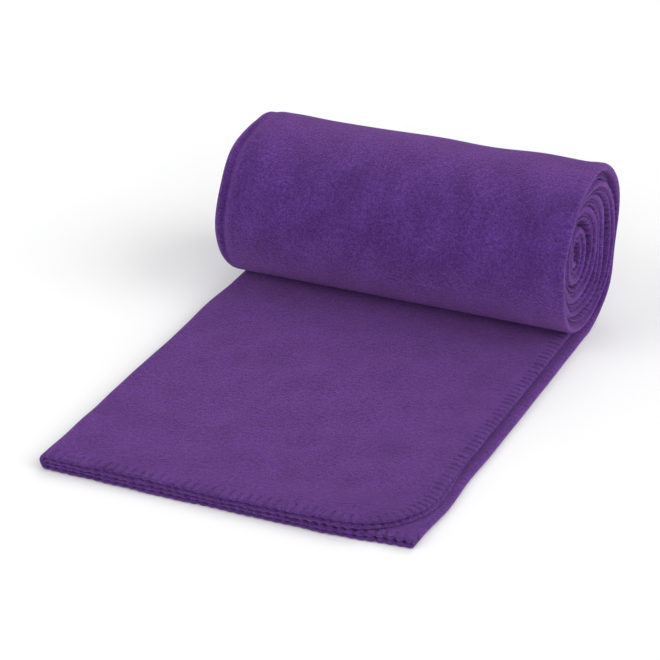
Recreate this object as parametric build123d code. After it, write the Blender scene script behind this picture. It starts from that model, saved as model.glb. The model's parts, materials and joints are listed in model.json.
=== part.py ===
from build123d import *
import math
import os

# A plush travel towel, lying on a table.  One rectangular sheet of thick pile cloth, its four cut edges
# wrapped with a heavy overlock thread, is folded lengthwise into four layers and then part rolled up.
# The unrolled end, the flap, runs under the roll, up behind it, over its top and round to its core.
#
# +X runs along the roll to the side with the open edges, +Y from the flap's free end to the roll, +Z up.
# The origin is at the middle of the object's footprint, on the surface that it lies on.  Millimetres.

# Cloth
LAYER = 3.3               # one layer of cloth, pressed by the layers over it
LAYER_GAP = 0.2           # air between two layers
FOLDED_WIDTH = 325.0      # from the left fold to the right fold
TOP_EDGE_INSET = 8.0      # from the right fold in to the open edge of the top layer
SECOND_EDGE_INSET = 5.5   # from the right fold in to the open edge of the layer under it
CORNER_RADIUS = 58.0      # rounded corners of the sheet
THREAD = 1.2              # how far the thread stands out from a cut edge

# Roll
TURNS = 4                 # full turns round the core
TURN_GAP = 0.2            # air between two turns
CORE_RADIUS = 25.25       # outer radius at which the core begins
CORE_EYE = 0.6            # smallest radius that the cloth is curled round
FLAT_RUN = 4.4            # flat at the top and the bottom of each turn, pressed by the roll's weight
TURN_RECESS = 4.0         # how far each turn sits in from the last one at the open-edge end
TURN_BULGE = 2.0          # how far each turn stands out from the last one at the folded end

# Flap
FLAP_LENGTH = 319.3       # from the free end to the front of the roll
STRIPS = 13               # stretches of flap that turn against each other as it is wound up
STRIP_GAP = 0.2           # clearance between two stretches
WIND_CLEARANCE = 3.0      # between the roll and the flap wound round it

# Worked out from the sizes above
THICKNESS = 4 * LAYER + 3 * LAYER_GAP
PITCH = THICKNESS + TURN_GAP
STEP_IN = PITCH / 4                            # each quarter turn's radius is this much smaller
ROLL_RADIUS = CORE_RADIUS + TURNS * PITCH
ROLL_HEIGHT = 2 * ROLL_RADIUS - STEP_IN
ROLL_START = FLAP_LENGTH - 3 * STEP_IN + FLAT_RUN + ROLL_RADIUS
LENGTH = ROLL_START + ROLL_RADIUS
ROLL_MIDDLE = ((FLAP_LENGTH + LENGTH) / 2, ROLL_HEIGHT / 2)
LEFTMOST = -TURNS * TURN_BULGE
LAYER_STEP = LAYER + LAYER_GAP
TOP_LAYER_Z = 3 * LAYER_STEP
SECOND_LAYER_Z = 2 * LAYER_STEP
TO_ROW_FRAME = Pos(-(LEFTMOST + FOLDED_WIDTH) / 2, -LENGTH / 2, 0)
OPEN_LAYERS = ((TOP_LAYER_Z, TOP_EDGE_INSET), (SECOND_LAYER_Z, SECOND_EDGE_INSET))


def block(x0, x1, y0, y1):
    """A flat rectangle between two corners."""
    return Pos((x0 + x1) / 2, (y0 + y1) / 2) * Rectangle(x1 - x0, y1 - y0)


def half_ring(x, y, outer, inner, side):
    """One half of a fold seen end on, open towards the layers that it joins."""
    ring = Circle(outer) - Circle(inner)
    half = Pos(side * outer / 2, 0) * Rectangle(outer, 2 * outer)
    return Pos(x, y) * (ring & half)


def folded_section(left, right):
    """The four layers and three folds seen end on, from the outer surface (0) inwards."""
    left_centre = left + THICKNESS / 2
    pair = LAYER + LAYER_GAP / 2
    right_centre = right - pair
    section = half_ring(left_centre, THICKNESS / 2, THICKNESS / 2, THICKNESS / 2 - LAYER, -1)
    section += half_ring(left_centre, THICKNESS / 2, pair, LAYER_GAP / 2, -1)
    section += half_ring(right_centre, pair, pair, LAYER_GAP / 2, 1)
    section += block(left_centre, right_centre, 0, LAYER)
    section += block(left_centre, right_centre, LAYER_STEP, LAYER_STEP + LAYER)
    for height, inset in OPEN_LAYERS:
        section += block(left_centre, right - inset - THREAD, height, height + LAYER)
    return section


def edge_thread_section(right, height, inset):
    """The thread over one open edge, seen end on."""
    return block(right - inset - THREAD, right - inset, height, height + LAYER)


def standing(section, y, z=0.0):
    """A section set up across the cloth's length, with its outer surface down."""
    return Plane(origin=(0, y, z), x_dir=(1, 0, 0), z_dir=(0, -1, 0)) * section


def straight(section, y0, y1):
    """A section run along the flap from y0 to y1."""
    return extrude(standing(section, y1), amount=y1 - y0)


def quarter(index):
    """Radius and centre (y, z) of the outer surface in one quarter turn of the roll."""
    radius = ROLL_RADIUS - index * STEP_IN
    side = index % 4
    centre_y = ROLL_START + (0, STEP_IN, STEP_IN - FLAT_RUN, -FLAT_RUN)[side]
    centre_z = ROLL_RADIUS + (0, 0, STEP_IN, STEP_IN)[side]
    return radius, centre_y, centre_z


def on_quarter(index, share, depth=0.0):
    """A point (y, z) under a quarter turn's outer surface, from its start (0) to its end (1)."""
    radius, centre_y, centre_z = quarter(index)
    angle = math.radians(90 * (index % 4 - 1 + share))
    reach = radius - depth
    return centre_y + reach * math.cos(angle), centre_z + reach * math.sin(angle)


def spiral_path(first, last, depth=0.0):
    """The line at one depth from one quarter turn to another, with the flats between them."""
    edges = []
    for index in range(first, last):
        points = [(0, *on_quarter(index, share, depth)) for share in (0, 0.5, 1)]
        edges.append(ThreePointArc(*points))
        if index % 2:
            edges.append(Line(points[2], (0, *on_quarter(index + 1, 0, depth))))
    return Wire(edges)


def wound(section, first, last, depth=0.0):
    """A section run round part of the roll, led by the line at a depth that the section crosses."""
    y, z = on_quarter(first, 0)
    return sweep(standing(section, y, z), path=spiral_path(first, last, depth))


def core_quarters():
    """How many quarter turns the core has room for."""
    count = 0
    while CORE_RADIUS - count * STEP_IN - THICKNESS >= CORE_EYE:
        count += 1
    return count


def edge_band(inset, y0, y1):
    """The thread on one open edge between y0 and y1, seen from above, round the sheet's corner too."""
    edge = FOLDED_WIDTH - inset
    centre = Pos(edge - CORNER_RADIUS, CORNER_RADIUS)
    corner = centre * (Circle(CORNER_RADIUS) - Circle(CORNER_RADIUS - THREAD))
    corner &= block(edge - CORNER_RADIUS, edge, 0, CORNER_RADIUS)
    side = block(edge - THREAD, edge, CORNER_RADIUS, HINGES[0])
    return (corner + side) & block(edge - CORNER_RADIUS, edge, y0, y1)


def corner_waste(height, inset):
    """What the rounded corner of one layer leaves out of a square one."""
    edge = FOLDED_WIDTH - inset
    radius = CORNER_RADIUS - THREAD
    waste = block(edge - CORNER_RADIUS, edge, 0, CORNER_RADIUS)
    waste -= Pos(edge - CORNER_RADIUS, CORNER_RADIUS) * Circle(radius)
    return Pos(0, 0, height - LAYER_GAP / 2) * extrude(waste, amount=LAYER_STEP)


def wind_radius():
    """Inner radius of the flap once it is wound round the roll."""
    middle_y, middle_z = ROLL_MIDDLE
    samples = [on_quarter(index, share / 16) for index in range(4) for share in range(17)]
    reach = max(math.hypot(y - middle_y, z - middle_z) for y, z in samples)
    return reach + WIND_CLEARANCE


def wind_layout():
    """Hinge lines, from the roll out, and the limits of the first hinge and of the others.

    Wound up, the stretches are the sides of a polygon round the roll.  Their length and the place of
    the first hinge follow from each other, so both are settled by repetition.
    """
    radius = wind_radius()
    middle_y, middle_z = ROLL_MIDDLE
    drop = middle_z - THICKNESS
    first = FLAP_LENGTH
    for _ in range(20):
        half_turn = math.atan(first / STRIPS / 2 / radius)
        vertex = radius / math.cos(half_turn)
        first = middle_y - math.sqrt(vertex**2 - drop**2)
    first_limit = math.acos(drop / vertex) + half_turn
    hinges = [first * (STRIPS - index) / STRIPS for index in range(STRIPS)]
    return hinges, math.degrees(first_limit), math.degrees(2 * half_turn)


HINGES, FIRST_LIMIT, STRIP_LIMIT = wind_layout()


def make_strip(index):
    """One stretch of flap and the thread on its open edges."""
    near = HINGES[index] - STRIP_GAP / 2
    is_free_end = index == STRIPS - 1
    far = THREAD if is_free_end else HINGES[index + 1] + STRIP_GAP / 2
    cloth = straight(folded_section(0, FOLDED_WIDTH), far, near)
    thread = Part()
    for height, inset in OPEN_LAYERS:
        if far < CORNER_RADIUS:
            cloth -= corner_waste(height, inset)
        band = edge_band(inset, 0 if is_free_end else far, near)
        thread += Pos(0, 0, height) * extrude(band, amount=LAYER)
    return cloth, thread


def make_free_end_thread():
    """The thread over the four layers' cut ends, up to the rounded corners of the top two."""
    section = folded_section(0, FOLDED_WIDTH)
    for height, inset in OPEN_LAYERS:
        edge = FOLDED_WIDTH - inset
        gap = LAYER_GAP / 2
        section -= block(edge - CORNER_RADIUS, edge, height - gap, height + LAYER + gap)
    return straight(section, 0, THREAD)


def make_base_thread(start):
    """The thread on the open edges of the stretch that the roll stands on."""
    thread = Part()
    for height, inset in OPEN_LAYERS:
        thread += straight(edge_thread_section(FOLDED_WIDTH, height, inset), start, ROLL_START)
    return thread


def make_turn(first, last, turn):
    """Part of the roll and the thread on its open edges, shifted along the roll by its turn."""
    left = -turn * TURN_BULGE
    right = FOLDED_WIDTH - turn * TURN_RECESS
    cloth = wound(folded_section(left, right), first, last)
    thread = Part()
    for height, inset in OPEN_LAYERS:
        thread += wound(edge_thread_section(right, height, inset), first, last, height)
    return cloth, thread


def make_core_end_thread(last):
    """The thread over the sheet's inner end, at the middle of the roll."""
    path = spiral_path(last - 1, last)
    end = path @ 1
    forward = path % 1
    section = folded_section(-TURNS * TURN_BULGE, FOLDED_WIDTH - TURNS * TURN_RECESS)
    plane = Plane(origin=end, x_dir=(1, 0, 0), z_dir=-forward)
    return extrude(plane * section, amount=-THREAD)


def make_nodes():
    """Every piece by name."""
    nodes = {}
    for index in range(STRIPS):
        cloth, thread = make_strip(index)
        nodes[f"flap_strip_{index + 1:02d}"] = cloth
        nodes[f"flap_side_thread_{index + 1:02d}"] = thread
    nodes["flap_end_thread"] = make_free_end_thread()
    base_start = HINGES[0] + STRIP_GAP / 2
    nodes["roll_base"] = straight(folded_section(0, FOLDED_WIDTH), base_start, ROLL_START)
    nodes["roll_base_thread"] = make_base_thread(base_start)
    for turn in range(TURNS):
        cloth, thread = make_turn(4 * turn, 4 * turn + 4, turn)
        nodes[f"roll_turn_{turn + 1}"] = cloth
        nodes[f"roll_turn_thread_{turn + 1}"] = thread
    last = 4 * TURNS + core_quarters()
    cloth, thread = make_turn(4 * TURNS, last, TURNS)
    nodes["roll_core"] = cloth
    nodes["roll_core_thread"] = thread
    nodes["roll_core_end_thread"] = make_core_end_thread(last)
    return nodes


def report_sizes():
    """The sizes that follow from the driving ones, for the notes beside the model."""
    quarters = range(4 * TURNS + core_quarters())
    rolled = sum(math.pi / 2 * (quarter(index)[0] - THICKNESS / 2) for index in quarters)
    rolled += FLAT_RUN * (len(quarters) // 2)
    print("length", LENGTH, "height", ROLL_HEIGHT, "wind radius", wind_radius())
    print("sheet", 4 * FOLDED_WIDTH, "x", ROLL_START + rolled)
    print("first hinge y", HINGES[0] - LENGTH / 2, "z", THICKNESS, "strip", HINGES[0] / STRIPS)
    print("limits", FIRST_LIMIT, STRIP_LIMIT, "ratio", STRIP_LIMIT / FIRST_LIMIT)


os.makedirs("parts", exist_ok=True)
for name, shape in make_nodes().items():
    export_step(TO_ROW_FRAME * shape, f"parts/{name}.step")
report_sizes()
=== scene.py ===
import json
import math

import bpy
import numpy as np
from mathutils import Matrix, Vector


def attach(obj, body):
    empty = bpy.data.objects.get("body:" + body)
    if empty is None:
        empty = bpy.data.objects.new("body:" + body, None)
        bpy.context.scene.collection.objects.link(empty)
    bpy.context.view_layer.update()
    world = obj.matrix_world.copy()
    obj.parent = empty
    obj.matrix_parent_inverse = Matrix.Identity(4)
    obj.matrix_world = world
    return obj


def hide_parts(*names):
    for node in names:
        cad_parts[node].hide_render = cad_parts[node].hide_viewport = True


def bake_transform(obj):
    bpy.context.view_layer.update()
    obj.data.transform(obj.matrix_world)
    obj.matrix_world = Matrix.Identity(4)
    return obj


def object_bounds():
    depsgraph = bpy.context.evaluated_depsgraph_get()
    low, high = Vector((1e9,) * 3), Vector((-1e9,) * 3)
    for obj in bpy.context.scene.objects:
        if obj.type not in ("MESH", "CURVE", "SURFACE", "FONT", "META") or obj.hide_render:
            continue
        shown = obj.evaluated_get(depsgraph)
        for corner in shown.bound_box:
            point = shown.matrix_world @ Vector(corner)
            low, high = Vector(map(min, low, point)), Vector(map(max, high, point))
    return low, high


# A plush travel towel: one sheet of thick pile cloth with overlocked edges, folded lengthwise into four
# layers and part rolled up.  The whole cloth is one rule, lay(), from a place on the unfolded sheet to a
# place in the room; each piece of towel, and each stitch on it, is a stretch of that rule.
#
# Sizes are in millimetres until a mesh is made.  x runs across the folded towel from its left fold, y from
# the flap's free end, z up; s runs across the unfolded sheet from the top layer's open edge, v along it.

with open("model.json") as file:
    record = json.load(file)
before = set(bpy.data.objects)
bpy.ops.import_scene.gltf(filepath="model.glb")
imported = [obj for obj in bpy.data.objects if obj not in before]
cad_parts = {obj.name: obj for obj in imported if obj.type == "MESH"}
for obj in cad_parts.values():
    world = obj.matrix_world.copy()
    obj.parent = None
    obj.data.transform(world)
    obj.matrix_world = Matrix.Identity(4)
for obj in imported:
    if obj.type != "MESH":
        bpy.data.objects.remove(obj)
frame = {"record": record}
cad_low, cad_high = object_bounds()

MM = 0.001

# Cloth and folds, as in the CAD part
LAYER = 3.3                  # one layer of cloth
LAYER_GAP = 0.2
FOLDED_WIDTH = 325.0
TOP_EDGE_INSET = 8.0         # from the right fold in to the top layer's open edge
SECOND_EDGE_INSET = 5.5      # the same for the layer under it
CORNER_RADIUS = 58.0
TURNS = 4
TURN_GAP = 0.2
CORE_RADIUS = 25.25
CORE_QUARTERS = 4            # quarter turns inside the core radius
FLAT_RUN = 4.4
FLAP_LENGTH = 319.3
STRIPS = 13
TURN_BULGE = 2.0             # the CAD roll's left end stands out by this much a turn

THICKNESS = 4 * LAYER + 3 * LAYER_GAP
PITCH = THICKNESS + TURN_GAP
STEP_IN = PITCH / 4
ROLL_RADIUS = CORE_RADIUS + TURNS * PITCH
ROLL_START = FLAP_LENGTH - 3 * STEP_IN + FLAT_RUN + ROLL_RADIUS
ROLL_HEIGHT = 2 * ROLL_RADIUS - STEP_IN
ROLL_MIDDLE = ((FLAP_LENGTH + ROLL_START + ROLL_RADIUS) / 2, ROLL_HEIGHT / 2)
LAYER_STEP = LAYER + LAYER_GAP
HALF_LAYER = LAYER / 2

# The free end: how its layers' front edges lie.  A pair of numbers is where a change begins and ends.
FRONT_OUT = 4.0              # the front edges lie this far out at the left
FRONT_OUT_LESS = 1.8         # and this much less at the right
FRONT_OUT_LESS_FROM = (150, 320)
FRONT_WAVE = 0.8
FRONT_WAVE_DEPTH = 30        # the wave pattern moves on by this much from the lowest layer to the top one
FRONT_SETTLES = 90           # none of this is left this far from the free end
CORNER_PULLED_BACK = 6.0     # the two lower layers' front edge, back from the flap's end at the right
CORNER_PULL_FROM = 232.0     # where along the front edge that begins
CORNER_PULL_CURVE = 1.3
TOP_LAYER_BACK = 1.3         # the top layer lies back by this much
TOP_LAYER_BACK_FROM = (15, 50)
TOP_LAYER_DEPTH = (9, 11)
FRONT_LIFT = 2.0             # the two upper layers stand this much higher near their rounded corner
FRONT_LIFT_MIDDLE, FRONT_LIFT_WIDTH, FRONT_LIFT_TO = 258, 50, 60
CORNER_PUFF = 2.2            # the layers under the rounded corner puff up by this much
CORNER_PUFF_FROM = (262, 318)
CORNER_PUFF_ENDS = (5, 70)
PUFFED_LAYERS = (2.6, 4.6)

# The two folded sides.  LEFT_END is (turns, x) of the left fold.
LEFT_END = ((0.0, 0.0), (0.3, 0.5), (0.5, 3.2), (0.62, 0.2), (0.78, -3.6), (1.0, -4.2), (9.0, -4.2))
LEFT_OUT = 0.6               # the left fold lies this far out
LEFT_FLARE = 3.0             # and this much more where the flap meets the roll
LEFT_FLARE_BACK, LEFT_FLARE_WIDTH = 6, 30
RIGHT_IN = 2.5               # the right fold is pulled in by this much at the free end
RIGHT_IN_TO = 70
SIDE_WAVE = 0.8
LEFT_WAVE_ROW, RIGHT_WAVE_ROW = 900.0, 40.0     # the rows of the wave pattern that the two sides follow
LEFT_WOUND_WAVE, RIGHT_WOUND_WAVE = 0.6, 0.8    # the waves are larger by this share on the roll
WOUND_FROM = (0.2, 0.6)      # in turns
SECOND_EDGE_DRIFT = 4.0      # along the side the second layer's edge comes to lie this much further in
SECOND_EDGE_DRIFT_FROM = (80, 150)
RIGHT_EDGES_OUT = 6.5        # rolled up, the open edges lie this much nearer to the right fold
OUTER_TURN_OUT = 1.6         # the outermost turn's right end stands out by this much
OUTER_TURN_FROM, OUTER_TURN_TO = (0.3, 0.7), (1.3, 1.8)
TURN_RECESS = 2.4            # each turn's right end sits in from the last one
RECESS_FROM = 0.7            # from this many turns on
DROOP = 1.5                  # the top layer's open edge droops by this much
DROOP_RUN = 8                # within this distance of the edge
SECOND_DROOP = 0.6           # the second layer's edge droops by this share of it
SECOND_DROOP_RUN = 6
WOUND_DROOP = 0.5            # and rolled up, the drooping is less by this share

# The flap's thickness
FLAP_ENDS = (FLAP_LENGTH - 30, FLAP_LENGTH + 5)
SURFACE_WAVE = 0.055         # the cloth's thickness comes and goes by this share
LEFT_FULLER = 0.10           # the flap is fuller by this share at its left fold
LEFT_FULLER_TO = (4, 40)
FLAP_PRESSED = 0.03          # and thinner by this share everywhere

# The roll's core
CORE_TALL = 0.42             # the inner turns are drawn up tall by this share
CORE_NARROW = 0.16           # and are narrower by this share
INNER_REACH = 62             # within this distance of the roll's middle
CORE_SHRINK = 0.13           # the loose core is this share smaller than the room for it
CORE_SHIFT = 2.9             # and lies this far towards the front
CORE_SINK = 0.6              # and this far down
CORE_LOOSE_TURNS = (3.62, 4.06)
CORE_LOOSE_FROM = (150, 290) # it loosens between these places along the roll

# The roll's outside
ROLL_WAVE = 0.95             # the roll's surface comes and goes by this much
ROLL_SPREAD = 80             # about the roll's radius, which sets how fast its waves pass round it
ROLL_WAVE_START = 12
OUTSIDE_FROM = (62, 80)      # distances from the middle that count as the outside
LIFTS_FROM = (22, 70)        # all this comes in between these heights, clear of the table
FRONT_HALF = 30              # the roll's front half begins and ends this far from its middle
LIP_PLACE = 8.6              # a groove goes round the roll this far from its left end
LIP_DEPTH = 4.0
LIP_NEAR_WIDTH, LIP_FAR_WIDTH = 1.8, 4.6
LIP_BEHIND = 0.25            # its depth at the back, as a share
LEFT_END_IN = 2.5            # the left end's top is lower by this much
LEFT_END_WIDTH = 22
LEFT_END_HIGH = (120, 158)
RIGHT_RIM = 0.8              # a slight rim stands up just inside the right end
RIGHT_RIM_IN, RIGHT_RIM_WIDTH = 6, 7
TOP_SWELL = 1.7              # the right end's top swells towards the back
TOP_SWELL_ANGLE, TOP_SWELL_WIDTH = 0.75, 0.5
TOP_SWELL_FROM = (235, 325)
# Rises and dips of the roll's top along its length: height, middle and width
TOP_DIPS = ((-1.2, 54, 28), (-0.6, 110, 50), (0.9, 14, 10))
RIGHT_RISE = 1.0
RIGHT_RISE_FROM = (235, 300)
LEANS_FROM = (60, 165)

# The turns' ends
RIGHT_END_FROM = (250, 325)
LEFT_END_TO = (0, 80)
INNER_TURNS = (52, 74)
BACK_OUT, BACK_OUT_FROM = 1.6, (0, 36)          # the inner turns' right ends stand out at the back
FRONT_IN = 2.2               # and sit in at the front
END_WAVE = 1.1

# Overlocked edge
SIDE_PITCH = 7.0             # between stitches along the long edges
FRONT_PITCH = 7.9            # between stitches along the short edges
STITCH_DEPTH = 10.3          # how far in from the edge the needle went
SHORT_OF_HOLE = 1.2          # a stitch's groove fades out from this far before the needle's hole
PAST_HOLE = 0.6              # to this far past it
THREAD_RADIUS = 0.45
THREAD_SIDES = 6
GROOVE_WIDTH = 1.1
GROOVE_PRESS = 0.62          # a stitch presses in this share of the cloth
PUFF = 0.34                  # between two stitches the cloth puffs up by this much
BAND_PRESS = 0.14            # and the whole stitched band is pressed in by this much
DRAWN_IN = 0.7               # a stitch draws the edge in by this much where it goes round it
DRAWN_WIDTH = 1.7
DRAWN_RUN = 6                # and nothing is drawn in this far from the edge
TOP_LAYER_PAST = 5           # the top layer's stitching is told from the lower layers' this far past its run
LOWER_FRONT_SHOWN = 0.95     # the lower layers' stitches are pressed flatter, to this share at the free end
LOWER_SIDE_SHOWN = 0.4       # and to this share along the side
LOWER_FRONT_TO = 12
EDGE_ROUND = 2.8             # the cut edge is rounded over by the thread within this distance
LAST_STITCH_SHORT = 4        # the last stitch along a side stops this far short of the sheet's inner end
CORNER_PATH = 1e-3           # the corner's own stitch lies this far to the side of the corner's middle
STITCH_LOOKS = 4096          # stitches with a length, lean and pull of their own
SECOND_EDGE_FIRST = 1500     # the second layer's edge takes its stitches' looks from this one on

# Mesh
ROW = 1.05                   # fine rows along the cloth
BLOCK = 4                    # this many fine cells make one coarse cell, away from the stitched edges
LAYER_CELLS = 248
OUTER_FOLD_CELLS = 48
INNER_FOLD_CELLS = 24
HEM_CELLS = 16
LIP_BLOCKS = 4               # coarse cells beside the left fold that are fine where the roll has its lip
EDGE_EASE = 4.0              # cells near an open edge are drawn together, this strongly
TINY = 1e-12
OTHER_FACE_APART = 2.0       # metres between the cloth's two faces on their shared map

# Chance
SEED = 25
WAVE_SIZES, WAVE_TOP = (0.5, 1.0), 0.6
STITCH_LENGTHS = (-0.9, 0.5)
STITCH_LEANS = (-0.45, 0.45)
STITCH_PULLS = (0.55, 1.1)

chance = np.random.default_rng(SEED)


def smooth(x, start, end):
    """0 before start, 1 after end, with an easy slope between."""
    t = np.clip((np.asarray(x, float) - start) / (end - start), 0, 1)
    return t * t * (3 - 2 * t)


def bump(x, middle, width):
    """1 at the middle, falling to nothing about two widths away."""
    return np.exp(-(((x - middle) / width) ** 2))


def make_waves(shortest, longest, count):
    """A gentle uneven surface: a sum of waves in all directions, about 1 high at the most."""
    length = np.exp(chance.uniform(math.log(shortest), math.log(longest), count))
    turn = chance.uniform(0, 2 * math.pi, count)
    start = chance.uniform(0, 2 * math.pi, count)
    size = chance.uniform(*WAVE_SIZES, count)
    size /= size.sum() * WAVE_TOP
    kx, ky = 2 * math.pi * np.cos(turn) / length, 2 * math.pi * np.sin(turn) / length

    def height(x, y):
        total = 0.0
        for i in range(count):
            total = total + size[i] * np.sin(kx[i] * x + ky[i] * y + start[i])
        return total

    return height


# Shortest and longest wave, and how many
thick_waves = make_waves(45, 150, 9)
edge_waves = make_waves(60, 190, 5)
front_waves = make_waves(24, 130, 7)
roll_waves = make_waves(60, 200, 8)
end_waves = make_waves(50, 150, 5)
stitch_length = chance.uniform(*STITCH_LENGTHS, STITCH_LOOKS)
stitch_lean = chance.uniform(*STITCH_LEANS, STITCH_LOOKS)
stitch_pull = chance.uniform(*STITCH_PULLS, STITCH_LOOKS)

# ---------------------------------------------------------------- the folded section
# Runs across the unfolded sheet, in order: top layer, outer left fold, bottom layer, right fold, third
# layer, inner left fold, second layer.
LEFT_HUB = THICKNESS / 2
RIGHT_HUB = LAYER + LAYER_GAP / 2
OUTER_BEND = THICKNESS / 2 - HALF_LAYER
INNER_BEND = LAYER_STEP / 2
MIDDLE_DEPTHS = [HALF_LAYER + LAYER_STEP * i for i in range(4)]
RUN_TOP = FOLDED_WIDTH - TOP_EDGE_INSET - LEFT_HUB
RUN_SECOND = FOLDED_WIDTH - SECOND_EDGE_INSET - LEFT_HUB
RUN_LOWER = FOLDED_WIDTH - LEFT_HUB - RIGHT_HUB
OUTER_FOLD, INNER_FOLD = math.pi * OUTER_BEND, math.pi * INNER_BEND
RUNS = [RUN_TOP, OUTER_FOLD, RUN_LOWER, INNER_FOLD, RUN_LOWER, INNER_FOLD, RUN_SECOND]
MARKS = np.concatenate([[0], np.cumsum(RUNS)])
ACROSS = MARKS[-1]
PHASE_SWITCH = (MARKS[5] + MARKS[6]) / 2      # inside the inner left fold, where no stitch shows
SPARE_FROM = 60              # a layer's spare width is taken up beyond this distance from its open edge


def folded_section(s, left, right, out, under):
    """x, depth under the outer surface, and normal (x, depth) of the cloth's middle, folded.

    out is how much nearer to the right fold the open edges lie than on the flap, and under how much
    further in the second layer's edge lies.
    """
    left_hub, right_hub = left + LEFT_HUB, right - RIGHT_HUB
    wide = right_hub - left_hub
    part = np.clip(np.searchsorted(MARKS, s, side="right") - 1, 0, 6)
    share = (s - MARKS[part]) / np.asarray(RUNS)[part]
    turn = math.pi * share
    top_edge, second_edge = right - TOP_EDGE_INSET + out, right - SECOND_EDGE_INSET + out / 2 - under
    spare_top, spare_second = top_edge - left_hub - RUN_TOP, second_edge - left_hub - RUN_SECOND
    from_second = ACROSS - s
    x_top = top_edge - s - spare_top * smooth(s, SPARE_FROM, RUN_TOP)
    x_second = second_edge - from_second - spare_second * smooth(from_second, SPARE_FROM, RUN_SECOND)
    middle = THICKNESS / 2
    low_pair = LAYER_STEP - LAYER_GAP / 2
    zero, one = np.zeros_like(s), np.ones_like(s)
    xs = [x_top, left_hub - OUTER_BEND * np.sin(turn), left_hub + share * wide,
          right_hub + INNER_BEND * np.sin(turn), right_hub - share * wide,
          left_hub - INNER_BEND * np.sin(turn), x_second]
    ds = [one * MIDDLE_DEPTHS[3], middle + OUTER_BEND * np.cos(turn), one * MIDDLE_DEPTHS[0],
          low_pair - INNER_BEND * np.cos(turn), one * MIDDLE_DEPTHS[1],
          middle - INNER_BEND * np.cos(turn), one * MIDDLE_DEPTHS[2]]
    nxs = [zero, -np.sin(turn), zero, np.sin(turn), zero, np.sin(turn), zero]
    nds = [one, np.cos(turn), -one, -np.cos(turn), one, np.cos(turn), -one]
    pick = [part == i for i in range(7)]
    return tuple(np.select(pick, options) for options in (xs, ds, nxs, nds))


# ---------------------------------------------------------------- the way along the cloth
def quarter(index):
    """Radius and centre (y, z) of the outer surface in one quarter turn of the roll."""
    radius = ROLL_RADIUS - index * STEP_IN
    side = index % 4
    y = ROLL_START + (0, STEP_IN, STEP_IN - FLAT_RUN, -FLAT_RUN)[side]
    z = ROLL_RADIUS + (0, 0, STEP_IN, STEP_IN)[side]
    return radius, y, z


def make_stretches():
    """Every quarter turn and flat of the roll in order, and the cloth's whole length.

    Each row is its start along the cloth, its own length, radius, centre (y, z), first angle, the turns
    wound before it and the share of a turn that it is, which is 0 for a flat.
    """
    rows, v = [], ROLL_START
    for index in range(4 * TURNS + CORE_QUARTERS):
        radius, y, z = quarter(index)
        angle = math.pi / 2 * (index % 4 - 1)
        long = math.pi / 2 * (radius - THICKNESS / 2)
        rows.append((v, long, radius, y, z, angle, index / 4, 0.25))
        v += long
        if index % 2:
            rows.append((v, FLAT_RUN, radius, y, z, angle + math.pi / 2, (index + 1) / 4, 0.0))
            v += FLAT_RUN
    return np.array(rows), v


STRETCHES, LENGTH = make_stretches()
TURNS_BEFORE = STRETCHES[:, 6] + 1e-6
TURN_MARKS = [ROLL_START] + [STRETCHES[TURNS_BEFORE >= k][0, 0] for k in range(1, TURNS + 1)]


def along(v):
    """Outer surface (y, z), inward direction (y, z) and turns wound so far, at a distance along the cloth."""
    v = np.asarray(v, float)
    row = STRETCHES[np.clip(np.searchsorted(STRETCHES[:, 0], v, side="right") - 1, 0, None)]
    start, long, radius, y, z, angle, turns, quarter_share = np.moveaxis(row, -1, 0)
    share = np.clip((v - start) / long, 0, None)
    is_arc = quarter_share > 0
    theta = angle + np.where(is_arc, share * math.pi / 2, 0)
    out_y, out_z = np.cos(theta), np.sin(theta)
    slide = np.where(is_arc, 0, v - start)
    y = y + radius * out_y - slide * out_z
    z = z + radius * out_z + slide * out_y
    flat = v < ROLL_START
    return (np.where(flat, v, y), np.where(flat, 0, z), np.where(flat, 0, -out_y), np.where(flat, 1, -out_z),
            np.where(flat, 0, turns + share * quarter_share))


# ---------------------------------------------------------------- the overlocked edge
def round_corner(a, b):
    """Bends the square corner of a sheet to its rounded corner, and gives the way along the edge."""
    r = CORNER_RADIUS
    near_side = a < b
    inside = (a < r) & (b < r)
    near = np.minimum(a, b)
    with np.errstate(divide="ignore", invalid="ignore"):
        by_side = math.pi / 4 * (r - b) / (r - a)
        by_front = math.pi / 2 - math.pi / 4 * (r - a) / (r - b)
    theta = np.where(near_side, by_side, by_front)
    theta = np.where(inside, theta, np.where(near_side, 0, math.pi / 2))
    a_bent = np.where(inside, r - (r - near) * np.cos(theta), a)
    b_bent = np.where(inside, r - (r - near) * np.sin(theta), b)
    quarter_arc = math.pi / 4 * r
    beyond = np.where(near_side, np.maximum(b - r, 0), np.maximum(a - r, 0))
    path = np.where(inside, np.abs(math.pi / 4 - theta) * r, quarter_arc + beyond)
    return a_bent, b_bent, np.where(near_side, path, -path)


def stitch_state(path, edge, end_path, end_edge):
    """Distance to the nearest stitch line, its number, and the distance to the edge it is on."""
    at_end = end_edge < edge
    pitch = np.where(at_end, FRONT_PITCH, np.where(path > 0, SIDE_PITCH, FRONT_PITCH))
    phase = np.where(at_end, end_path, path) / pitch
    number = np.round(phase).astype(int)
    off = (phase - number) * pitch
    return off, number, np.minimum(edge, end_edge)


def from_open_edge(s):
    """Whether each place is in the top layer's half of the sheet, and how far from its half's open edge."""
    first_half = s < PHASE_SWITCH
    return first_half, np.where(first_half, s, ACROSS - s)


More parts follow.
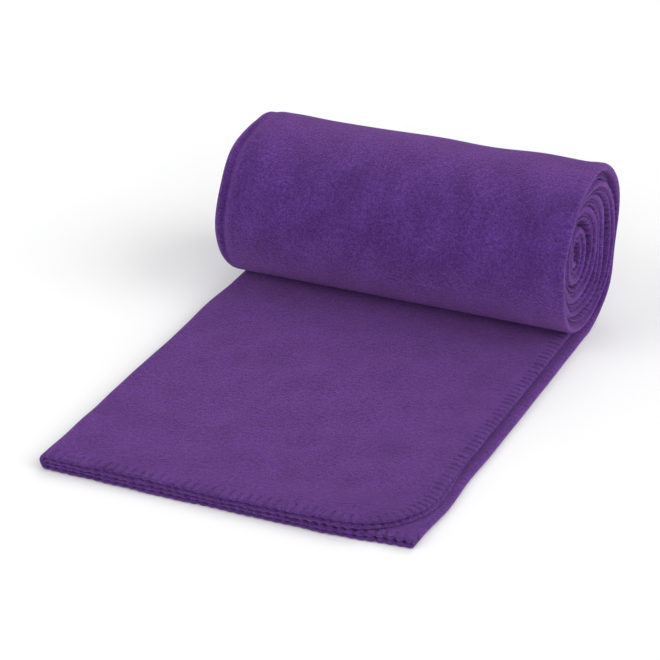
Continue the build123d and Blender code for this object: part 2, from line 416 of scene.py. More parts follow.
def overlock(s, v):
    """How the overlocking shapes the cloth near its edges.

    Gives, at every place, the distance off the nearest stitch and in from the edge, the stitched band
    (1 in it, 0 past the needle's holes), the stitch's groove (1 at its deepest) and the stitch's pull.
    """
    first_half, a = from_open_edge(s)
    _, _, path = round_corner(a, v)
    edge, end_edge = np.minimum(a, v), LENGTH - v
    off, number, near = stitch_state(path, edge, s, end_edge)
    look = (number + np.where(first_half, 0, SECOND_EDGE_FIRST)) % STITCH_LOOKS
    off = off + stitch_lean[look] * near / STITCH_DEPTH
    hole = STITCH_DEPTH + stitch_length[look]
    band = 1 - smooth(near, hole - SHORT_OF_HOLE, hole + PAST_HOLE)
    groove = bump(off, 0, GROOVE_WIDTH) * band * stitch_pull[look]
    return off, near, band, groove, stitch_pull[look]


# ---------------------------------------------------------------- the whole cloth
def folded_sides(turns, v):
    """x of the left and right folds, how wound up the cloth is (0 to 1), and the second edge's drift in."""
    wound = smooth(turns, *WOUND_FROM)
    outermost = smooth(turns, *OUTER_TURN_FROM) * (1 - smooth(turns, *OUTER_TURN_TO))
    right = FOLDED_WIDTH + OUTER_TURN_OUT * outermost - TURN_RECESS * np.maximum(turns - RECESS_FROM, 0)
    right += SIDE_WAVE * edge_waves(v, RIGHT_WAVE_ROW) * (1 + RIGHT_WOUND_WAVE * wound)
    right -= RIGHT_IN * (1 - smooth(v, 0, RIGHT_IN_TO))
    left = np.interp(turns, *zip(*LEFT_END)) - LEFT_OUT
    left += SIDE_WAVE * edge_waves(v, LEFT_WAVE_ROW) * (1 + LEFT_WOUND_WAVE * wound)
    left -= LEFT_FLARE * bump(v, FLAP_LENGTH - LEFT_FLARE_BACK, LEFT_FLARE_WIDTH)
    under = SECOND_EDGE_DRIFT * smooth(v, *SECOND_EDGE_DRIFT_FROM) * (1 - wound)
    return left, right, wound, under


def droop_of_edges(s, a, wound):
    """How far the two open edges droop over the layer under them."""
    top = np.clip(1 - a / DROOP_RUN, 0, 1) ** 2 * (s < RUN_TOP)
    second = SECOND_DROOP * np.clip(1 - a / SECOND_DROOP_RUN, 0, 1) ** 2 * (s > ACROSS - RUN_SECOND)
    return DROOP * (top + second) * (1 - WOUND_DROOP * wound)


def in_upper_layers(depth, blend):
    """0 in the two lower layers and 1 in the two upper ones, with a slope between that is this wide twice."""
    return smooth(depth, THICKNESS / 2 - blend, THICKNESS / 2 + blend)


def set_back(x, depth):
    """How far back from the flap's end each layer's front edge lies; they aren't exactly over each other."""
    upper = in_upper_layers(depth, blend=1)
    back = FRONT_WAVE * front_waves(x, FRONT_WAVE_DEPTH * depth / THICKNESS)
    back += CORNER_PULLED_BACK * (1 - upper) * smooth(x, CORNER_PULL_FROM, FOLDED_WIDTH) ** CORNER_PULL_CURVE
    back += TOP_LAYER_BACK * smooth(x, *TOP_LAYER_BACK_FROM) * smooth(depth, *TOP_LAYER_DEPTH)
    return back - (FRONT_OUT - FRONT_OUT_LESS * smooth(x, *FRONT_OUT_LESS_FROM))


def lay(s, v, side, lift=0.0):
    """Places points of the towel.  side is 1 or -1 for the cloth's faces; lift raises a point off them."""
    s, v = np.broadcast_arrays(np.asarray(s, float), np.asarray(v, float))
    first_half, a = from_open_edge(s)
    edge, end_edge = np.minimum(a, v), LENGTH - v
    off, near, band, groove, pull = overlock(s, v)
    puff = np.sin(np.pi * np.clip(np.abs(off) / (SIDE_PITCH / 2), 0, 1) / 2) ** 2 * band
    rim = np.sqrt(1 - (1 - np.clip(near / EDGE_ROUND, 0, 1)) ** 2)
    lower_shown = np.where(v < LOWER_FRONT_TO, LOWER_FRONT_SHOWN, LOWER_SIDE_SHOWN)
    shown = np.where(s < RUN_TOP + TOP_LAYER_PAST, 1.0, lower_shown)
    half = HALF_LAYER * rim * (1 - GROOVE_PRESS * groove * shown)
    half += (PUFF * puff * shown - BAND_PRESS * band) * rim

    drawn = DRAWN_IN * pull * shown * bump(off, 0, DRAWN_WIDTH) * np.clip(1 - near / DRAWN_RUN, 0, 1)
    near_side, at_inner_end = a < v, end_edge <= edge
    a_in = a + np.where(near_side & ~at_inner_end, drawn, 0)
    v_in = v + np.where(~near_side & ~at_inner_end, drawn, 0) - np.where(at_inner_end, drawn, 0)
    a_bent, v_bent, _ = round_corner(a_in, v_in)
    s_bent = np.where(first_half, a_bent, ACROSS - a_bent)

    _, _, _, _, turns = along(v_bent)
    left, right, wound, under = folded_sides(turns, v_bent)
    x, depth, nx, nd = folded_section(s_bent, left, right, RIGHT_EDGES_OUT * wound, under)
    out = side * (half + lift)
    x, depth = x + nx * out, depth + nd * out
    depth = depth - droop_of_edges(s, a_bent, wound)
    v_bent = v_bent + set_back(x, depth) * (1 - smooth(v_bent, 0, FRONT_SETTLES))

    y, z, in_y, in_z, turns = along(v_bent)
    depth = loosen_layers(x, v_bent, depth)
    y, z = y + in_y * depth, z + in_z * depth
    return settle(x, y, z, turns, left)


def loosen_layers(x, v, depth):
    """The flap's layers lift a little off each other near the rounded corner, and its thickness varies."""
    on_flap = 1 - smooth(v, *FLAP_ENDS)
    swell = 1 + SURFACE_WAVE * thick_waves(x, v) * on_flap
    upper = in_upper_layers(depth, blend=0.6)
    front = 1 - smooth(v, 0, FRONT_LIFT_TO)
    lift = FRONT_LIFT * upper * bump(x, FRONT_LIFT_MIDDLE, FRONT_LIFT_WIDTH) * front
    corner = smooth(x, *CORNER_PUFF_FROM) * (1 - smooth(v, *CORNER_PUFF_ENDS)) * on_flap
    puffed = smooth(depth, *PUFFED_LAYERS) * (1 - upper) * CORNER_PUFF * corner
    fuller = 1 + LEFT_FULLER * on_flap * (1 - smooth(x, *LEFT_FULLER_TO)) - FLAP_PRESSED * on_flap
    return depth * swell * fuller + lift + puffed


def from_middle(y, z):
    """How far behind the roll's middle line a place is, and how far above it."""
    return y - ROLL_MIDDLE[0], z - ROLL_MIDDLE[1]


def loosen_core(x, y, z, turns):
    """The last turn is loose, and the inner turns are pressed into a tall, narrow coil."""
    mid_y, mid_z = ROLL_MIDDLE
    on_roll = turns > 0
    loose = smooth(turns, *CORE_LOOSE_TURNS) * smooth(x, *CORE_LOOSE_FROM)
    back, up = from_middle(y, z)
    y = np.where(on_roll, mid_y + back * (1 - CORE_SHRINK * loose) - CORE_SHIFT * loose, y)
    z = np.where(on_roll, mid_z + up * (1 - CORE_SHRINK * loose) - CORE_SINK * loose, z)
    back, up = from_middle(y, z)
    inner = np.clip(1 - np.hypot(back, up) / INNER_REACH, 0, 1) * on_roll
    return mid_y + back * (1 - CORE_NARROW * inner), mid_z + up * (1 + CORE_TALL * inner)


def roll_relief(x, z, reach, angle, front_half, left):
    """How far the roll's surface stands out at each place: waves, the lip's groove, and the ends' dips."""
    outside = smooth(reach, *OUTSIDE_FROM)
    wave = ROLL_WAVE * roll_waves(x, ROLL_SPREAD * angle + ROLL_WAVE_START)
    wave = wave * np.clip(reach / ROLL_SPREAD, 0, 1)
    lip = left + LIP_PLACE
    groove = np.where(x < lip, bump(x, lip, LIP_NEAR_WIDTH), bump(x, lip, LIP_FAR_WIDTH))
    wave = wave - LIP_DEPTH * groove * outside * (LIP_BEHIND + (1 - LIP_BEHIND) * front_half)
    wave = wave - LEFT_END_IN * bump(x, left, LEFT_END_WIDTH) * outside * smooth(z, *LEFT_END_HIGH)
    wave = wave + RIGHT_RIM * bump(x, FOLDED_WIDTH - RIGHT_RIM_IN, RIGHT_RIM_WIDTH) * outside
    swell = bump(angle, TOP_SWELL_ANGLE, TOP_SWELL_WIDTH) * smooth(x, *TOP_SWELL_FROM)
    return wave + TOP_SWELL * swell * outside


def settle(x, y, z, turns, left):
    """The roll as a whole is a little uneven, sags at its right end, and its core is loose."""
    on_roll = turns > 0
    y, z = loosen_core(x, y, z, turns)
    back, up = from_middle(y, z)
    reach = np.hypot(back, up) + 1e-6
    front_half = smooth(-back, -FRONT_HALF, FRONT_HALF)
    wave = roll_relief(x, z, reach, np.arctan2(up, back), front_half, left)
    wave = wave * smooth(z, *LIFTS_FROM) * on_roll
    y, z = y + back / reach * wave, z + up / reach * wave
    lean = RIGHT_RISE * smooth(x, *RIGHT_RISE_FROM)
    for height, middle, width in TOP_DIPS:
        lean = lean + height * bump(x, middle, width)
    z = z + on_roll * lean * smooth(z, *LEANS_FROM)

    # the ends of the turns aren't in one plane
    at_right, at_left = smooth(x, *RIGHT_END_FROM), 1 - smooth(x, *LEFT_END_TO)
    inward = 1 - smooth(reach, *INNER_TURNS)
    x = x + on_roll * inward * at_right * (BACK_OUT * smooth(back, *BACK_OUT_FROM) - FRONT_IN * front_half)
    x = x + on_roll * END_WAVE * end_waves(y, z) * (at_right + at_left)
    return np.stack([x, y, z], axis=-1)


# ---------------------------------------------------------------- meshes
ORIGIN = np.array([cad_low.x, cad_low.y, cad_low.z]) / MM + np.array([TURN_BULGE * TURNS, 0, 0])


def into_frame(points):
    """Towel millimetres to metres in the CAD frame."""
    return (points + ORIGIN) * MM


def drawn_together(k):
    """Spaces counted places close together near 0 and evenly further on."""
    return k**2 / (k + EDGE_EASE)


def make_stations():
    """Fine stations across the unfolded sheet: close together near the two open edges."""
    eased = drawn_together(np.arange(LAYER_CELLS + 1))
    eased /= eased[-1]
    parts = [eased * RUN_TOP]
    cells = [OUTER_FOLD_CELLS, LAYER_CELLS, INNER_FOLD_CELLS, LAYER_CELLS, INNER_FOLD_CELLS]
    for mark, run, count in zip(MARKS[1:6], RUNS[1:6], cells):
        parts.append(mark + run * np.arange(1, count + 1) / count)
    parts.append(ACROSS - (eased * RUN_SECOND)[::-1][1:])
    return np.concatenate(parts)


STATIONS = make_stations()
COLUMNS = (len(STATIONS) - 1) // BLOCK


def make_rows(start, end, row, from_edge, to_edge):
    """Fine rows along one stretch, close together at an end that is a cut edge of the sheet."""
    count = BLOCK * max(1, round((end - start) / row / BLOCK))
    k = np.arange(count + 1, dtype=float)
    if from_edge:
        k = drawn_together(k)
    if to_edge:
        k = drawn_together(count - k)
        k = k[0] - k
    return start + (end - start) * k / k[-1]


def block_faces(grid, fine, fine_before, fine_after, flip):
    """Quads for the fine blocks, and one face for each coarse block, which takes in the edge points of the
    fine blocks beside it."""
    rows, columns = fine.shape
    quads, others = [], []
    r, c = np.nonzero(np.kron(fine, np.ones((BLOCK, BLOCK), bool)))
    quads.append(np.stack([grid[r, c], grid[r + 1, c], grid[r + 1, c + 1], grid[r, c + 1]], axis=1))
    padded = np.zeros((rows + 2, columns + 2), bool)
    padded[1:-1, 1:-1] = fine
    padded[0, 1:-1], padded[-1, 1:-1] = fine_before, fine_after
    beside = [padded[1:-1, :-2], padded[2:, 1:-1], padded[1:-1, 2:], padded[:-2, 1:-1]]
    plain = ~fine & ~(beside[0] | beside[1] | beside[2] | beside[3])
    r, c = np.nonzero(plain)
    r, c = r * BLOCK, c * BLOCK
    corners = [grid[r, c], grid[r + BLOCK, c], grid[r + BLOCK, c + BLOCK], grid[r, c + BLOCK]]
    quads.append(np.stack(corners, axis=1))
    steps = range(BLOCK)
    for i, j in zip(*np.nonzero(~fine & ~plain)):
        r, c = i * BLOCK, j * BLOCK
        sides = [[grid[r + k, c] for k in steps], [grid[r + BLOCK, c + k] for k in steps],
                 [grid[r + BLOCK - k, c + BLOCK] for k in steps], [grid[r, c + BLOCK - k] for k in steps]]
        face = []
        for line, open_side in zip(sides, beside):
            face += line if open_side[i, j] else line[:1]
        others.append(face[::-1] if flip else face)
    quads = np.concatenate(quads)
    return quads[:, ::-1] if flip else quads, others


def cap_faces(upper, lower, fine, at_start):
    """Closes a cut across the cloth between its two faces."""
    faces = []
    for j, is_fine in enumerate(fine):
        step = 1 if is_fine else BLOCK
        for c in range(j * BLOCK, (j + 1) * BLOCK, step):
            face = [upper[c], upper[c + step], lower[c + step], lower[c]]
            face = face if at_start else face[::-1]
            face = [p for k, p in enumerate(face) if p != face[k - 1]]
            if len(face) > 2:
                faces.append(face)
    return faces


def faced(rows, side):
    """One face of the cloth on the fine grid, with normals that carry on over the cuts between stretches."""
    first, last = rows[1] - rows[0], rows[-1] - rows[-2]
    wider = np.concatenate([[max(rows[0] - first, 0)], rows, [min(rows[-1] + last, LENGTH)]])
    s, v = np.meshgrid(STATIONS, wider)
    points = into_frame(lay(s, v, side))
    lengthwise = points[2:] - points[:-2]
    points = points[1:-1]
    across = np.empty_like(points)
    across[:, 1:-1] = points[:, 2:] - points[:, :-2]
    across[:, 0], across[:, -1] = points[:, 1] - points[:, 0], points[:, -1] - points[:, -2]
    return points, unit(side * np.cross(lengthwise, across))


def unit(vectors):
    return vectors / (np.linalg.norm(vectors, axis=-1, keepdims=True) + TINY)


def cloth_faces(grid_a, grid_b, starts_open, ends_open, fine_lip):
    """The faces of one stretch, the caps where it meets the next ones last, and the number of caps."""
    hem = np.zeros(COLUMNS, bool)
    hem[:HEM_CELLS // BLOCK] = hem[-HEM_CELLS // BLOCK:] = True
    if fine_lip:
        first = (LAYER_CELLS + OUTER_FOLD_CELLS) // BLOCK
        hem[first:first + LIP_BLOCKS] = True
    fine = np.tile(hem, ((grid_a.shape[0] - 1) // BLOCK, 1))
    if starts_open:
        fine[:HEM_CELLS // BLOCK] = True
    quads_a, others_a = block_faces(grid_a, fine, fine[0], hem, False)
    quads_b, others_b = block_faces(grid_b, fine, fine[0], hem, True)
    faces = quads_a.tolist() + quads_b.tolist() + others_a + others_b
    faces = [list(dict.fromkeys(face)) for face in faces]
    caps = []
    if not starts_open:
        caps += cap_faces(grid_a[0], grid_b[0], hem, True)
    if not ends_open:
        caps += cap_faces(grid_a[-1], grid_b[-1], hem, False)
    return faces + caps, len(caps)


def add_object(name, data):
    added = bpy.data.objects.new(name, data)
    bpy.context.scene.collection.objects.link(added)
    return added


def make_cloth(name, rows, starts_open, ends_open, fine_lip):
    """One stretch of the towel, all four layers of it, closed where it meets the next stretch."""
    s, v = np.meshgrid(STATIONS, rows)
    (face_a, normals_a), (face_b, normals_b) = faced(rows, 1), faced(rows, -1)
    grid_a = np.arange(s.size).reshape(s.shape)
    grid_b = grid_a + s.size
    open_edges = [np.s_[:, 0], np.s_[:, -1]] + [np.s_[0]] * starts_open + [np.s_[-1]] * ends_open
    for line in open_edges:
        grid_b[line] = grid_a[line]
        normals_a[line] = unit(normals_a[line] + normals_b[line])
    faces, cap_count = cloth_faces(grid_a, grid_b, starts_open, ends_open, fine_lip)

    points = np.concatenate([face_a.reshape(-1, 3), face_b.reshape(-1, 3)])
    places = np.stack([s, v], axis=-1).reshape(-1, 2) * MM
    places = np.concatenate([places, places + [0, OTHER_FACE_APART]])
    used = np.zeros(len(points), bool)
    used[np.concatenate([np.asarray(face) for face in faces])] = True
    renumber = np.cumsum(used) - 1
    mesh = bpy.data.meshes.new(name)
    mesh.from_pydata(points[used], [], [renumber[face].tolist() for face in faces])
    side_count = len(faces) - cap_count
    mesh.polygons.foreach_set("use_smooth", [i < side_count for i in range(len(faces))])
    corner = np.zeros(len(mesh.loops), int)
    mesh.loops.foreach_get("vertex_index", corner)
    uv = mesh.uv_layers.new(name="cloth_uv")
    uv.data.foreach_set("uv", places[used][corner].ravel())
    # painted shade: each stitch groove's depth is kept on the mesh to darken the cloth's colour in it
    _, _, _, groove_shade_mask, _ = overlock(s, v)
    shade = mesh.attributes.new("stitch_groove_painted_shade", "FLOAT", "POINT")
    shade.data.foreach_set("value", np.tile(groove_shade_mask.ravel(), 2)[used])
    mesh.validate()
    mesh.update()
    normals = np.concatenate([normals_a.reshape(-1, 3), normals_b.reshape(-1, 3)])
    mesh.normals_split_custom_set_from_vertices(normals[used])
    return add_object(name, mesh)


# ---------------------------------------------------------------- stitches
# A stitch from its hole to the edge: share of the way, and height over the pressed pile
STITCH_SHARES = np.array([0.0, 0.06, 0.2, 0.4, 0.62, 0.8, 0.93, 1.0])
STITCH_LIFTS = np.array([-0.9, -0.2, 0.0, 0.08, 0.1, 0.15, 0.2, 0.2])


def stitch_line(s_out, v_out, s_in, v_in):
    """One stitch: from the needle's hole on one face, round the edge and back to the hole on the other."""
    s = s_in + (s_out - s_in) * STITCH_SHARES
    v = v_in + (v_out - v_in) * STITCH_SHARES
    upper = lay(s, v, 1, STITCH_LIFTS)
    lower = lay(s, v, -1, STITCH_LIFTS)
    return np.concatenate([upper[:-1], [(upper[-1] + lower[-1]) / 2], lower[-2::-1]])


def square_from_round(path, near):
    """Where on the square sheet (a, b) a point lies that is near to the edge, at a distance along it."""
    r = CORNER_RADIUS
    quarter_arc = math.pi / 4 * r
    far = max(abs(path) - quarter_arc, 0)
    share = min(abs(path) / quarter_arc, 1)
    other = r + far if far else r - (1 - share) * (r - near)
    return (near, other) if path > 0 else (other, near)


def all_stitches():
    """Every stitch on the towel's edges as (place along the cloth, points)."""
    found = []
    cut_short = CORNER_RADIUS - math.pi / 4 * CORNER_RADIUS
    last_side = (LENGTH - cut_short - LAST_STITCH_SHORT) / SIDE_PITCH
    edges = ((PHASE_SWITCH, False, 0), (ACROSS - PHASE_SWITCH, True, SECOND_EDGE_FIRST))
    for across, is_second, first_look in edges:
        last_front = (across - cut_short) / FRONT_PITCH
        for number in range(-int(last_front), int(last_side) + 1):
            look = (number + first_look) % STITCH_LOOKS
            path = number * (SIDE_PITCH if number > 0 else FRONT_PITCH)
            if number == 0:
                path = CORNER_PATH
            a_out, b_out = square_from_round(path, 0.0)
            a_in, b_in = square_from_round(path - stitch_lean[look], STITCH_DEPTH + stitch_length[look])
            if is_second:
                a_out, a_in = ACROSS - a_out, ACROSS - a_in
            found.append((min(b_out, b_in) if number > 0 else b_in, stitch_line(a_out, b_out, a_in, b_in)))
    return found


def thread_tree(material):
    """Thickens stitch lines to round thread, and keeps how far along its stitch each point is."""
    tree = bpy.data.node_groups.new("stitch_thread", "GeometryNodeTree")
    face = tree.interface
    face.new_socket("Stitch lines", in_out="INPUT", socket_type="NodeSocketGeometry")
    radius = face.new_socket("Thread radius", in_out="INPUT", socket_type="NodeSocketFloat")
    radius.default_value = THREAD_RADIUS * MM
    sides = face.new_socket("Sides", in_out="INPUT", socket_type="NodeSocketInt")
    sides.default_value = THREAD_SIDES
    face.new_socket("Thread", in_out="OUTPUT", socket_type="NodeSocketGeometry")
    nodes, links = tree.nodes, tree.links
    lines, out = nodes.new("NodeGroupInput"), nodes.new("NodeGroupOutput")
    curve = nodes.new("GeometryNodeMeshToCurve")
    share = nodes.new("GeometryNodeSplineParameter")
    keep = nodes.new("GeometryNodeStoreNamedAttribute")
    keep.data_type, keep.domain = "FLOAT", "POINT"
    keep.inputs["Name"].default_value = "along_stitch"
    profile = nodes.new("GeometryNodeCurvePrimitiveCircle")
    tube = nodes.new("GeometryNodeCurveToMesh")
    tube.inputs["Fill Caps"].default_value = True
    soft = nodes.new("GeometryNodeSetShadeSmooth")
    paint = nodes.new("GeometryNodeSetMaterial")
    paint.inputs["Material"].default_value = material
    real = nodes.new("GeometryNodeRealizeInstances")
    links.new(lines.outputs["Stitch lines"], curve.inputs["Mesh"])
    links.new(curve.outputs["Curve"], keep.inputs["Geometry"])
    links.new(share.outputs["Length"], keep.inputs["Value"])
    links.new(keep.outputs["Geometry"], tube.inputs["Curve"])
    links.new(lines.outputs["Thread radius"], profile.inputs["Radius"])
    links.new(lines.outputs["Sides"], profile.inputs["Resolution"])
    links.new(profile.outputs["Curve"], tube.inputs["Profile Curve"])
    links.new(tube.outputs["Mesh"], soft.inputs["Geometry"])
    links.new(soft.outputs["Geometry"], real.inputs["Geometry"])
    links.new(real.outputs["Geometry"], paint.inputs["Geometry"])
    links.new(paint.outputs["Geometry"], out.inputs["Thread"])
    return tree, radius.identifier


def make_stitches(name, lines, tree, radius_socket):
    """The thread of one stretch's stitches as one plain mesh."""
    points = np.concatenate(lines)
    edges, first = [], 0
    for line in lines:
        edges += [(first + k, first + k + 1) for k in range(len(line) - 1)]
        first += len(line)
    mesh = bpy.data.meshes.new(name + "_lines")
    mesh.from_pydata(into_frame(points), edges, [])
    carrier = add_object(name + "_lines", mesh)
    modifier = carrier.modifiers.new("Thread", "NODES")
    modifier.node_group = tree
    modifier[radius_socket] = THREAD_RADIUS * MM
    graph = bpy.context.evaluated_depsgraph_get()
    graph.update()
    made = bpy.data.meshes.new_from_object(carrier.evaluated_get(graph), preserve_all_data_layers=True,
                                           depsgraph=graph)
    made.name = name
    bpy.data.objects.remove(carrier)
    return add_object(name, made)


# ---------------------------------------------------------------- materials
WHITE = (1.0, 1.0, 1.0)

# Pile: noise scales are per metre of cloth, colours are linear
PILE_ALONG = 0.72            # the nap's patches are this much slower along the cloth
PATCH_SCALE, STROKE_SCALE, GRAIN_SCALE = 40, 260, 640
PILE_TINTS = [(0.36, (0.106, 0.034, 0.232)), (0.52, (0.128, 0.043, 0.276)), (0.66, (0.150, 0.052, 0.320))]
STROKE_SHADES = [(0.34, (0.50, 0.46, 0.55)), (0.62, WHITE)]
GRAIN_SHADES = [(0.38, (0.26, 0.22, 0.30)), (0.60, WHITE)]
# Painted shade: the cloth's colour is darkened this much in the stitch grooves
GROOVE_PAINTED_SHADE = [(0.1, WHITE), (0.9, (0.42, 0.38, 0.46))]
STROKE_SHARE, GRAIN_SHARE = 0.78, 0.85
STROKE_HEIGHT = 0.7          # the strokes' height against the grain's
PILE_RELIEF = 0.0021         # metres
PILE_SHEEN = (0.62, 0.26, 0.80, 1)

# Thread
TWIST = 5200.0               # radians per metre of thread
THREAD_TINTS = [(0.0, (0.060, 0.019, 0.122)), (0.8, (0.108, 0.038, 0.214))]
THREAD_SHEEN = (0.72, 0.42, 0.88, 1)

FLOOR_TINT = (0.94, 0.94, 0.94, 1)


def shader(name):
    material = bpy.data.materials.new(name)
    material.use_nodes = True
    nodes, links = material.node_tree.nodes, material.node_tree.links
    return material, nodes, links, nodes["Principled BSDF"]


def noise(nodes, links, where, scale, detail, roughness, distortion=0.0):
    node = nodes.new("ShaderNodeTexNoise")
    node.noise_dimensions = "3D"
    node.inputs["Scale"].default_value = scale
    node.inputs["Detail"].default_value = detail
    node.inputs["Roughness"].default_value = roughness
    node.inputs["Distortion"].default_value = distortion
    links.new(where, node.inputs["Vector"])
    return node.outputs["Fac"]


def ramp(nodes, links, source, stops):
    node = nodes.new("ShaderNodeValToRGB")
    while len(node.color_ramp.elements) < len(stops):
        node.color_ramp.elements.new(0.5)
    for element, (place, colour) in zip(node.color_ramp.elements, stops):
        element.position, element.color = place, (*colour, 1)
    links.new(source, node.inputs["Fac"])
    return node.outputs["Color"]


def multiplied(nodes, links, share, a, b):
    node = nodes.new("ShaderNodeMix")
    node.data_type, node.blend_type = "RGBA", "MULTIPLY"
    node.inputs["Factor"].default_value = share
    links.new(a, node.inputs["A"])
    links.new(b, node.inputs["B"])
    return node.outputs["Result"]


def attribute(nodes, name):
    node = nodes.new("ShaderNodeAttribute")
    node.attribute_name = name
    return node.outputs["Fac"]


def set_finish(skin, roughness, sheen, sheen_roughness, sheen_tint):
    skin.inputs["Roughness"].default_value = roughness
    skin.inputs["Sheen Weight"].default_value = sheen
    skin.inputs["Sheen Roughness"].default_value = sheen_roughness
    skin.inputs["Sheen Tint"].default_value = sheen_tint


def pile_cloth():
    """Brushed pile: nap patches, short strokes, a fine grain, painted shade in the stitch grooves and a soft
    sheen.
    """
    material, nodes, links, skin = shader("pile_cloth")
    where = nodes.new("ShaderNodeUVMap")
    where.uv_map = "cloth_uv"
    place = where.outputs["UV"]
    lengthwise = nodes.new("ShaderNodeMapping")
    lengthwise.inputs["Scale"].default_value = (1.0, PILE_ALONG, 1.0)
    links.new(place, lengthwise.inputs["Vector"])
    patches = noise(nodes, links, lengthwise.outputs["Vector"], PATCH_SCALE, detail=4.0, roughness=0.62,
                    distortion=0.4)
    strokes = noise(nodes, links, place, STROKE_SCALE, detail=3.0, roughness=0.7, distortion=0.2)
    grain = noise(nodes, links, place, GRAIN_SCALE, detail=3.0, roughness=0.8)
    tint = ramp(nodes, links, patches, PILE_TINTS)
    stroke = ramp(nodes, links, strokes, STROKE_SHADES)
    speck = ramp(nodes, links, grain, GRAIN_SHADES)
    tint = multiplied(nodes, links, STROKE_SHARE, tint, stroke)
    tint = multiplied(nodes, links, GRAIN_SHARE, tint, speck)
    # painted shade: darker colour in the stitch grooves
    shade = ramp(nodes, links, attribute(nodes, "stitch_groove_painted_shade"), GROOVE_PAINTED_SHADE)
    tint = multiplied(nodes, links, 1.0, tint, shade)
    links.new(tint, skin.inputs["Base Color"])
    skin.inputs["Specular IOR Level"].default_value = 0.15
    set_finish(skin, roughness=0.92, sheen=0.5, sheen_roughness=0.4, sheen_tint=PILE_SHEEN)
    raised = nodes.new("ShaderNodeMath")
    raised.operation = "MULTIPLY_ADD"
    links.new(strokes, raised.inputs[0])
    raised.inputs[1].default_value = STROKE_HEIGHT
    links.new(grain, raised.inputs[2])
    relief = nodes.new("ShaderNodeBump")
    relief.inputs["Strength"].default_value = 0.9
    relief.inputs["Distance"].default_value = PILE_RELIEF
    links.new(raised.outputs["Value"], relief.inputs["Height"])
    links.new(relief.outputs["Normal"], skin.inputs["Normal"])
    return material


def edge_thread():
    """Soft spun thread, twisted, a shade deeper than the cloth."""
    material, nodes, links, skin = shader("edge_thread")
    twist = nodes.new("ShaderNodeMath")
    twist.operation = "MULTIPLY"
    twist.inputs[1].default_value = TWIST
    links.new(attribute(nodes, "along_stitch"), twist.inputs[0])
    ply = nodes.new("ShaderNodeMath")
    ply.operation = "SINE"
    links.new(twist.outputs["Value"], ply.inputs[0])
    tint = ramp(nodes, links, ply.outputs["Value"], THREAD_TINTS)
    links.new(tint, skin.inputs["Base Color"])
    set_finish(skin, roughness=0.7, sheen=0.1, sheen_roughness=0.35, sheen_tint=THREAD_SHEEN)
    return material


def plain_floor():
    material, _, _, skin = shader("pale_floor")
    skin.inputs["Base Color"].default_value = FLOOR_TINT
    skin.inputs["Roughness"].default_value = 0.9
    return material


# ---------------------------------------------------------------- the towel
CORE_ROW = 0.6               # the core's rows are finer, because it turns tightly

hinges = sorted((j["pos_m"][1] for j in frame["record"]["behaviour"]["joints"]), reverse=True)
hinges = [y / MM - ORIGIN[1] for y in hinges]           # along the cloth, from the roll out
strip = hinges[0] / STRIPS
cuts = [hinges[0] + strip / 2] + [h - strip / 2 for h in hinges[:-1]] + [0.0]


def list_stretches():
    """Name, start and end along the cloth, bodies and CAD nodes (cloth, thread) of every stretch."""
    rows = []
    for k in range(STRIPS):
        parent = "roll" if k == 0 else f"strip_{k:02d}"
        bodies = (parent, f"strip_{k + 1:02d}")
        threads = [f"flap_side_thread_{k + 1:02d}"] + ["flap_end_thread"] * (k == STRIPS - 1)
        rows.append((f"flap_{k + 1:02d}", cuts[k + 1], cuts[k], bodies, f"flap_strip_{k + 1:02d}", threads))
    rows.append(("roll_base", cuts[0], ROLL_START, ("roll",), "roll_base", ["roll_base_thread"]))
    for k in range(TURNS):
        turn = k + 1
        rows.append((f"turn_{turn}", TURN_MARKS[k], TURN_MARKS[turn], ("roll",), f"roll_turn_{turn}",
                     [f"roll_turn_thread_{turn}"]))
    rows.append(("core", TURN_MARKS[-1], LENGTH, ("roll",), "roll_core",
                 ["roll_core_thread", "roll_core_end_thread"]))
    return rows


def on_bodies(piece, bodies):
    """Lets the roll's stretches ride on the roll, and only bakes a flap's stretch in place."""
    if len(bodies) == 1:
        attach(piece, "roll")
        return
    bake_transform(piece)


pile = pile_cloth()
thread = edge_thread()
tree, radius_socket = thread_tree(thread)
stitches = all_stitches()
for name, start, end, bodies, cloth_node, thread_nodes in list_stretches():
    at_free_end, is_core = start == 0.0, name == "core"
    rows = make_rows(start, end, CORE_ROW if is_core else ROW, at_free_end, is_core)
    cloth = make_cloth("cloth_" + name, rows, at_free_end, is_core, name in ("roll_base", "turn_1"))
    cloth.data.materials.append(pile)
    lines = [points for place, points in stitches if start <= place < end]
    sewn = make_stitches("stitches_" + name, lines, tree, radius_socket)
    for piece in (cloth, sewn):
        on_bodies(piece, bodies)
    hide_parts(cloth_node)
    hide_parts(*thread_nodes)

# ---------------------------------------------------------------- floor, light and camera
FLOOR_SIDE = 30
FLOOR_BELOW = 0.0004         # the floor lies this far under the CAD's lowest level, in metres
LAMP_SPREAD = math.radians(38)
# Turned to the right from the front, raised, in degrees, and strength
LAMPS = (("left_lamp", -35, 30, 0.82), ("front_lamp", 24, 18, 0.70), ("right_lamp", 50, 30, 0.62),
         ("side_lamp", 90, 40, 1.02), ("back_lamp", 180, 50, 0.60))
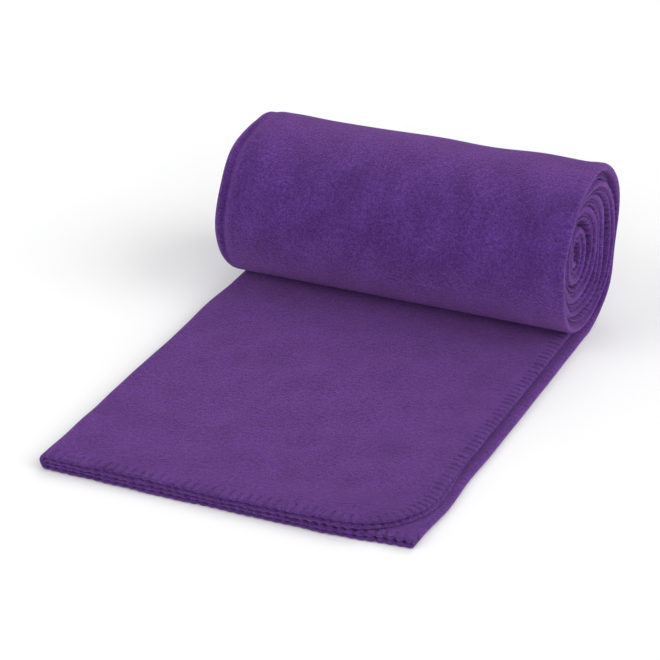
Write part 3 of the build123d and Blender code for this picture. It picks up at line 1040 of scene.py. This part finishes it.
# The room is white at the horizon and grey above: height as a share, brightness
ROOM_BRIGHTNESS = ((0.10, 1.0), (0.24, 0.43))
CAMERA_TURN, CAMERA_RISE = 24.07, 26.77
CAMERA_AIM = Vector((0.02305, -0.07597, 0.08621))
CAMERA_DISTANCE, CAMERA_LENS = 2.15265, 143.9


def direction(turn, rise):
    """Unit vector from the towel, turned to the right from the front and raised, in degrees."""
    turn, rise = math.radians(turn), math.radians(rise)
    return Vector((math.sin(turn) * math.cos(rise), -math.cos(turn) * math.cos(rise), math.sin(rise)))


def light_room():
    world = bpy.data.worlds.new("studio")
    bpy.context.scene.world = world
    world.use_nodes = True
    sky, links = world.node_tree.nodes, world.node_tree.links
    heading = sky.new("ShaderNodeTexCoord")
    height = sky.new("ShaderNodeSeparateXYZ")
    links.new(heading.outputs["Generated"], height.inputs["Vector"])
    stops = [(share, (grey, grey, grey)) for share, grey in ROOM_BRIGHTNESS]
    links.new(ramp(sky, links, height.outputs["Z"], stops), sky["Background"].inputs["Color"])
    sky["Background"].inputs["Strength"].default_value = 1.0


def soft_light(name, turn, rise, strength):
    """A wide, even lamp far off."""
    lamp = bpy.data.lights.new(name, "SUN")
    lamp.angle, lamp.energy = LAMP_SPREAD, strength
    holder = add_object(name, lamp)
    holder.rotation_euler = direction(turn, rise).to_track_quat("Z", "Y").to_euler()


def place_camera():
    back = direction(CAMERA_TURN, CAMERA_RISE)
    camera = bpy.data.cameras.new("camera")
    camera.lens, camera.sensor_width = CAMERA_LENS, 36
    holder = add_object("camera", camera)
    holder.location = CAMERA_AIM + back * CAMERA_DISTANCE
    holder.rotation_euler = back.to_track_quat("Z", "Y").to_euler()
    bpy.context.scene.camera = holder


bpy.ops.mesh.primitive_plane_add(size=FLOOR_SIDE, location=(0, 0, -FLOOR_BELOW))
floor = bpy.context.object
floor.name = "floor"
floor.data.materials.append(plain_floor())
light_room()
for name, turn, rise, strength in LAMPS:
    soft_light(name, turn, rise, strength)
bpy.context.scene.view_settings.view_transform = "Standard"
place_camera()
